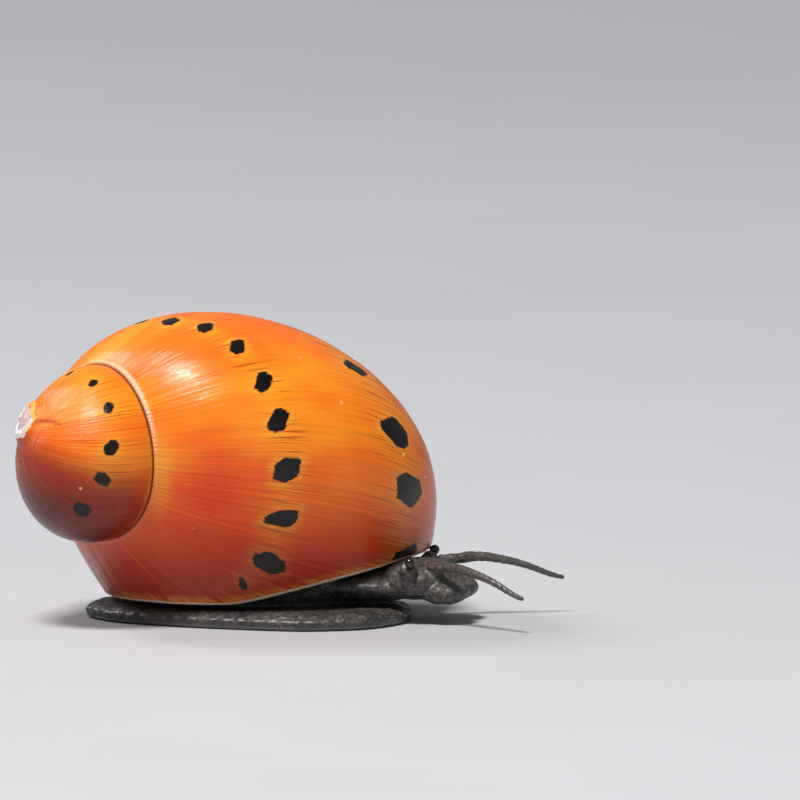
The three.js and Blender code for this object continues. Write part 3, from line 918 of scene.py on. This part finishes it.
ORANGE = (0.88, 0.145, 0.006)
YELLOW_ORANGE = (0.90, 0.27, 0.012)
OCHRE = (0.80, 0.36, 0.03)
RED_ORANGE = (0.74, 0.030, 0.002)
DEEP_RED = (0.26, 0.010, 0.003)
RED_BROWN = (0.06, 0.006, 0.003)
SPOT_BLACK = (0.004, 0.002, 0.002)
FRILL_CREAM = (0.80, 0.60, 0.42)
CHALK_WHITE = (0.66, 0.60, 0.60)
# darker pink for the worn pit: its pink tone with painted shade of the bowl
SHADED_CHALK_PINK = (0.50, 0.36, 0.36)
CHALK_ORANGE = (0.80, 0.28, 0.05)
CHIP_YELLOW = (0.95, 0.62, 0.16)
BROKEN_YELLOW = (0.90, 0.45, 0.08)
INNER_CREAM = (0.70, 0.52, 0.36)
SKIN_DARK = (0.026, 0.024, 0.024)
SKIN_GREY = (0.090, 0.082, 0.075)
HEAD_GREY = (0.14, 0.122, 0.098)
NETWORK_BLACK = (0.010, 0.009, 0.010)
GRAIN_BLACK = (0.010, 0.009, 0.009)
SPECK_GREY = (0.17, 0.16, 0.14)
SOLE_GREY = (0.16, 0.15, 0.13)
FEELER_GREY = (0.11, 0.10, 0.092)
EYE_BLACK = (0.004, 0.004, 0.005)
EYE_BROWN = (0.014, 0.012, 0.012)
DECK_CREAM = (0.78, 0.66, 0.46)
DECK_WHITE = (0.86, 0.80, 0.68)
HORN_DARK = (0.14, 0.085, 0.05)
HORN_PALE = (0.34, 0.24, 0.15)
FLOOR_GREY = (0.44, 0.44, 0.45)
FLOOR_PALE = (0.48, 0.48, 0.49)


def shell_ground(n, place, lines, blotch):
    """Orange to red by place, with haloes round the rows of spots and a red-brown spire; the
    redder, darker bottom and the spire's dark lower side are partly the shell's colour and partly
    painted shade.
    """
    turn, angle, on_spire = n.field("turn"), n.field("angle"), n.field("on_spire")
    broad = n.noise(n.scaled(n.vector_field("stream"), (2.2, 2.2, 1.2)), 1.0, 2.0)
    colour = n.mix(n.ramp(broad, 0.35, 0.68), ORANGE, YELLOW_ORANGE)
    axes = n.add("ShaderNodeSeparateXYZ")
    n.link(place, axes.inputs[0])
    z = axes.outputs["Z"]
    # Redder towards the bottom by height: partly the shell's own colour, partly painted shade.
    low = n.fade(n.plus(z, n.times(blotch, 0.003)), 0.0045, 0.013)
    colour = n.layer(colour, 0.85, low, RED_ORANGE)

    # A deeper red cloud lies between the suture and the middle row.
    cloud = n.times(n.bell(n.math("SUBTRACT", turn, 2.0), 0.85),
                    n.bell(n.math("SUBTRACT", angle, 60.0), 26.0))
    colour = n.layer(colour, 0.8, cloud, RED_ORANGE)

    halo = n.math("MAXIMUM", n.bell(n.field("middle_gap"), 1.5), n.bell(n.field("lower_gap"), 1.9))
    halo = n.times(halo, n.ramp(lines, 0.3, 0.7, 0.35, 1.0))
    colour = n.layer(colour, 0.75, halo, YELLOW_ORANGE)
    streaks = n.ramp(lines, 0.35, 0.6)
    rim = n.times(n.fade(n.field("spot"), 0.05, 0.6), streaks)
    colour = n.layer(colour, 0.6, rim, OCHRE)

    # Red-brown early whorls and underside, partly the shell's own colour and partly painted shade:
    # darker on the spire's lower side and at the bottom.
    pale_and_lit_side = n.plus(n.field("pale_and_lit_side"), n.times(blotch, 1.2))
    colour = n.layer(colour, 0.92, n.times(on_spire, n.fade(pale_and_lit_side, -1.2, 1.8)), DEEP_RED)
    # Deep red at the bottom by height: painted shade over the shell's own red.
    colour = n.layer(colour, 0.85, n.fade(z, 0.0020, 0.0078), DEEP_RED)
    colour = n.layer(colour, 0.9, n.times(on_spire, n.fade(pale_and_lit_side, -4.2, -0.6)), RED_BROWN)

    # An ochre band runs beside the suture low on the near side, and along the lip.
    beside = n.times(n.bell(n.math("SUBTRACT", n.field("beyond"), 0.5), 1.1),
                     n.bell(n.math("SUBTRACT", turn, 1.95), 0.7))
    colour = n.layer(colour, 0.6, beside, OCHRE)
    return n.layer(colour, 0.5, n.times(n.bell(n.field("lip_gap"), 0.5), streaks), OCHRE)


def shell_lines(n, colour, lines, fine_lines, blotch):
    """Growth lines, then the suture with its crimped frill."""
    near_rows = n.math("MAXIMUM", n.bell(n.field("middle_gap"), 2.2),
                       n.bell(n.field("lower_gap"), 3.2))
    dark_hairs = n.times(n.ramp(fine_lines, 0.53, 0.66), n.plus(0.12, n.times(near_rows, 0.7)))
    colour = n.mix(dark_hairs, colour, DEEP_RED)
    colour = n.layer(colour, 0.16, n.ramp(lines, 0.58, 0.72), YELLOW_ORANGE)
    cream = n.times(n.field("frill"), n.plus(0.45, n.times(n.field("ticks"), 0.55)))
    colour = n.mix(cream, colour, FRILL_CREAM)
    suture = n.times(n.bell(n.field("beyond"), 0.13), n.field("line_strength"))
    colour = n.mix(suture, colour, RED_BROWN)
    inner = n.times(n.bell(n.field("inner_gap"), 0.14), n.ramp(blotch, 0.4, 0.7, 0.0, 0.3))
    return n.mix(inner, colour, DEEP_RED)


def shell_spots(n, colour, place, fine_lines):
    """Black spots with ragged edges, and small yellow flecks where the shell is chipped."""
    spots = n.field("spot")
    edge = n.plus(spots, n.times(n.math("SUBTRACT", fine_lines, 0.5), 0.42))
    colour = n.mix(n.fade(edge, -0.04, 0.04), colour, SPOT_BLACK)
    chipped = n.times(n.fade(n.cells(place, 480.0), 0.04, 0.08),
                      n.ramp(n.noise(place, 300.0, 2.0), 0.50, 0.56))
    return n.mix(n.times(chipped, n.ramp(spots, 0.1, 0.2)), colour, CHIP_YELLOW)


def shell_tip(n, colour, lines, blotch, worn):
    """The worn tip: a white rim round a pinkish pit darkened with painted shade, stained orange on
    its upper side.
    """
    tip_distance, stain = n.field("tip_distance"), n.field("stain")
    # Pinker and darker deeper in the pit; the darkening is painted shade of the bowl.
    chalk = n.mix(n.fade(tip_distance, -0.7, -0.25), CHALK_WHITE, SHADED_CHALK_PINK)
    chalk = n.mix(n.ramp(n.plus(stain, n.times(blotch, 0.8)), 0.92, 1.12), chalk, CHALK_ORANGE)
    notch = n.fade(n.plus(n.field("notch"), n.times(blotch, 0.3)), 0.08, 0.26)
    streak = n.fade(n.plus(n.field("streak"), n.times(lines, 0.5)), 0.2, 0.5)
    colour = n.mix(n.math("MAXIMUM", notch, n.times(streak, 0.8)), colour, DEEP_RED)
    colour = n.mix(worn, colour, chalk)
    edge = n.math("SUBTRACT", n.plus(tip_distance, n.times(blotch, 0.3)), 0.1)
    return n.mix(n.times(n.bell(edge, 0.12), n.ramp(stain, -0.2, 0.1)), colour, BROKEN_YELLOW)


def shell_material():
    n = Nodes("spotted_shell")
    place = n.place()
    stream = n.vector_field("stream")
    lines = n.noise(n.scaled(stream, (34.0, 34.0, 1.3)), 1.0, 4.0, 0.62)
    fine_lines = n.noise(n.scaled(stream, (95.0, 95.0, 2.2)), 1.0, 3.0, 0.6)
    blotch = n.noise(place, 260.0, 3.0)
    worn = n.field("worn")

    colour = shell_ground(n, place, lines, blotch)
    colour = shell_lines(n, colour, lines, fine_lines, blotch)
    colour = shell_spots(n, colour, place, fine_lines)
    colour = shell_tip(n, colour, lines, blotch, worn)
    colour = n.mix(n.field("inside"), colour, INNER_CREAM)
    n.feed(n.shader.inputs["Base Color"], colour)

    rough = n.plus(0.16, n.times(fine_lines, 0.16))
    n.feed(n.shader.inputs["Roughness"], n.plus(rough, n.times(worn, 0.12)))
    n.shader.inputs["Specular IOR Level"].default_value = 0.32
    n.shader.inputs["Coat Weight"].default_value = 0.04
    n.shader.inputs["Coat Roughness"].default_value = 0.08
    n.shader.inputs["Subsurface Weight"].default_value = 0.03
    n.shader.inputs["Subsurface Radius"].default_value = (0.0012, 0.0004, 0.0002)
    unworn = n.math("SUBTRACT", 1.0, worn)
    normal = n.bump(n.times(fine_lines, unworn), 0.35, 0.00006)
    normal = n.bump(n.times(lines, unworn), 0.3, 0.00012, normal)
    normal = n.bump(n.noise(place, 3500.0, 2.0), 0.5, 0.00002, normal)
    n.link(normal, n.shader.inputs["Normal"])
    return n.material


def skin_material():
    n = Nodes("speckled_skin")
    place = n.place()
    mottle = n.noise(place, 700.0, 5.0, 0.7)
    grain = n.noise(place, 5200.0, 2.0, 0.6)
    colour = n.mix(n.ramp(mottle, 0.35, 0.65), SKIN_DARK, SKIN_GREY)
    colour = n.layer(colour, 0.3, n.field("head"), HEAD_GREY)

    # A black network, as on the head and foot of living nerites, on warped cells.
    bend = n.add("ShaderNodeTexNoise")
    n.link(place, bend.inputs["Vector"])
    bend.inputs["Scale"].default_value = 900.0
    warp = n.add("ShaderNodeVectorMath", operation="MULTIPLY_ADD")
    n.link(bend.outputs["Color"], warp.inputs[0])
    warp.inputs[1].default_value = (0.0006, 0.0006, 0.0006)
    n.link(place, warp.inputs[2])
    edges = n.cells(warp.outputs[0], 2300.0, "DISTANCE_TO_EDGE")
    colour = n.mix(n.ramp(edges, 0.03, 0.16, 0.6, 0.0), colour, NETWORK_BLACK)

    dots = n.cells(place, 2600.0)
    colour = n.layer(colour, 0.4, n.fade(dots, 0.12, 0.3), SPECK_GREY)
    colour = n.mix(n.ramp(grain, 0.55, 0.66), colour, GRAIN_BLACK)
    colour = n.layer(colour, 0.6, n.fade(n.field("height"), 0.08, 0.35), SOLE_GREY)
    colour = n.layer(colour, 0.4, n.field("feeler"), FEELER_GREY)
    n.feed(n.shader.inputs["Base Color"], colour)
    n.feed(n.shader.inputs["Roughness"], n.ramp(mottle, 0.3, 0.7, 0.36, 0.55))
    n.shader.inputs["Subsurface Weight"].default_value = 0.1
    n.shader.inputs["Subsurface Radius"].default_value = (0.0006, 0.0005, 0.0004)
    n.shader.inputs["Coat Weight"].default_value = 0.12
    n.shader.inputs["Coat Roughness"].default_value = 0.25
    normal = n.bump(dots, 0.6, 0.00007)
    normal = n.bump(grain, 0.3, 0.00003, normal)
    n.link(n.bump(mottle, 0.5, 0.00015, normal), n.shader.inputs["Normal"])
    return n.material


def eye_material():
    n = Nodes("black_eye")
    shade = n.noise(n.place(), 2500.0, 2.0)
    n.feed(n.shader.inputs["Base Color"], n.mix(shade, EYE_BLACK, EYE_BROWN))
    n.feed(n.shader.inputs["Roughness"], n.ramp(shade, 0.3, 0.7, 0.05, 0.12))
    n.shader.inputs["Coat Weight"].default_value = 0.6
    return n.material


def deck_material():
    n = Nodes("cream_deck")
    place = n.place()
    shade = n.noise(place, 500.0, 4.0)
    colour = n.mix(n.ramp(shade, 0.35, 0.7), DECK_CREAM, DECK_WHITE)
    n.feed(n.shader.inputs["Base Color"], colour)
    n.feed(n.shader.inputs["Roughness"], n.ramp(shade, 0.3, 0.7, 0.22, 0.4))
    n.link(n.bump(n.noise(place, 1800.0), 0.3, 0.00005), n.shader.inputs["Normal"])
    return n.material


def operculum_material():
    n = Nodes("horn_lid")
    place = n.place()
    bands = n.add("ShaderNodeTexWave", wave_type="RINGS", rings_direction="Z")
    n.feed(bands.inputs["Vector"], place)
    bands.inputs["Scale"].default_value = 420.0
    bands.inputs["Distortion"].default_value = 2.0
    colour = n.mix(bands.outputs["Fac"], HORN_DARK, HORN_PALE)
    n.feed(n.shader.inputs["Base Color"], colour)
    n.feed(n.shader.inputs["Roughness"], n.ramp(bands.outputs["Fac"], 0, 1, 0.35, 0.55))
    n.link(n.bump(bands.outputs["Fac"], 0.4, 0.00008), n.shader.inputs["Normal"])
    return n.material


def dress(piece, material):
    piece.data.materials.clear()
    piece.data.materials.append(material)


# Camera: the photograph's view, 12 degrees round from the snail's right side and 6 above.
VIEW_RIGHT = Vector((0.978, 0.208, 0.0))
VIEW_UP = Vector((-0.0217, 0.1022, 0.9945))
VIEW_BACK = Vector((0.2068, -0.9727, 0.1045))
AIM_DEPTH = 8.0  # of the point aimed at behind the apex, in millimetres
APEX_PIXEL = (25.2, 427.0)
PIXELS_PER_MM = 17.5
IMAGE_SIZE = 800
CAMERA_DISTANCE = 1.5
SENSOR = 36.0


def make_camera():
    right, down = ((IMAGE_SIZE / 2 - p) / PIXELS_PER_MM for p in APEX_PIXEL)
    target = Vector(APEX + ORIGIN) + VIEW_RIGHT * right - VIEW_UP * down - VIEW_BACK * AIM_DEPTH
    data = bpy.data.cameras.new("camera")
    data.sensor_width = SENSOR
    data.lens = SENSOR * CAMERA_DISTANCE / (IMAGE_SIZE / PIXELS_PER_MM * MM)
    data.clip_start = 0.01
    data.clip_end = 20.0
    camera = bpy.data.objects.new("camera", data)
    bpy.context.scene.collection.objects.link(camera)
    axes = Matrix([axis.normalized() for axis in (VIEW_RIGHT, VIEW_UP, VIEW_BACK)]).transposed()
    place = target * MM + VIEW_BACK.normalized() * CAMERA_DISTANCE
    camera.matrix_world = Matrix.Translation(place) @ axes.to_4x4()
    bpy.context.scene.camera = camera


# Lights: name, direction from the snail, distance and size in metres, watts and colour.
LIGHTS = [
    ("key", (-0.08, -0.48, 0.87), 0.80, (0.20, 0.16), 8.2, (1, 1, 1)),
    ("back_left", (-0.75, 0.25, 0.75), 0.80, (0.22, 0.20), 2.8, (0.95, 0.97, 1.0)),
    ("fill", (0.6, -0.8, 0.35), 1.0, (0.5, 0.5), 0.3, (1, 1, 1)),
]
LIGHT_AIM_HEIGHT = 0.008
FLOOR_HALF = 6.0
WORLD_COLOUR = (0.85, 0.87, 0.9, 1)
WORLD_STRENGTH = 0.22


def add_light(name, direction, distance, size, power, colour):
    data = bpy.data.lights.new(name, "AREA")
    data.shape = "RECTANGLE"
    data.size, data.size_y = size
    data.energy = power
    data.color = colour
    light = bpy.data.objects.new(name, data)
    aim = Vector(direction).normalized()
    light.location = aim * distance + Vector((0, 0, LIGHT_AIM_HEIGHT))
    light.rotation_mode = "QUATERNION"
    light.rotation_quaternion = aim.to_track_quat("Z", "Y")
    bpy.context.scene.collection.objects.link(light)


def make_stage():
    mesh = bpy.data.meshes.new("floor")
    corners = [(-1, -1), (1, -1), (1, 1), (-1, 1)]
    corners = [(x * FLOOR_HALF, y * FLOOR_HALF, 0) for x, y in corners]
    mesh.from_pydata(corners, [], [(0, 1, 2, 3)])
    floor = bpy.data.objects.new("floor", mesh)
    bpy.context.scene.collection.objects.link(floor)
    n = Nodes("pale_floor")
    grain = n.noise(n.place(), 40.0, 3.0)
    n.feed(n.shader.inputs["Base Color"], n.mix(grain, FLOOR_GREY, FLOOR_PALE))
    n.shader.inputs["Roughness"].default_value = 0.7
    dress(floor, n.material)
    world = bpy.data.worlds.new("studio")
    bpy.context.scene.world = world
    world.use_nodes = True
    background = world.node_tree.nodes["Background"]
    background.inputs["Color"].default_value = WORLD_COLOUR
    background.inputs["Strength"].default_value = WORLD_STRENGTH
    bpy.context.scene.view_settings.view_transform = "Standard"
    for light in LIGHTS:
        add_light(*light)


def build():
    shell = make_shell()
    dress(shell, shell_material())
    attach(shell, "root")
    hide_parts("shell_body_whorl", "shell_outer_lip", "shell_spire", "shell_apex")

    skin = make_skin()
    dress(skin, skin_material())
    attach(skin, "root")
    flesh = [s["node"] for s in frame["record"]["subparts"] if s["material_slot"] == "flesh"]
    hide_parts(*flesh)

    black = eye_material()
    for word, side in (("left", 1), ("right", -1)):
        eye = make_eye(word, side)
        dress(eye, black)
        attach(eye, "root")
        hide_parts(f"eye_{word}")

    dress(frame["nodes"]["shell_columellar_deck"], deck_material())
    dress(frame["nodes"]["operculum"], operculum_material())


build()
make_camera()
make_stage()
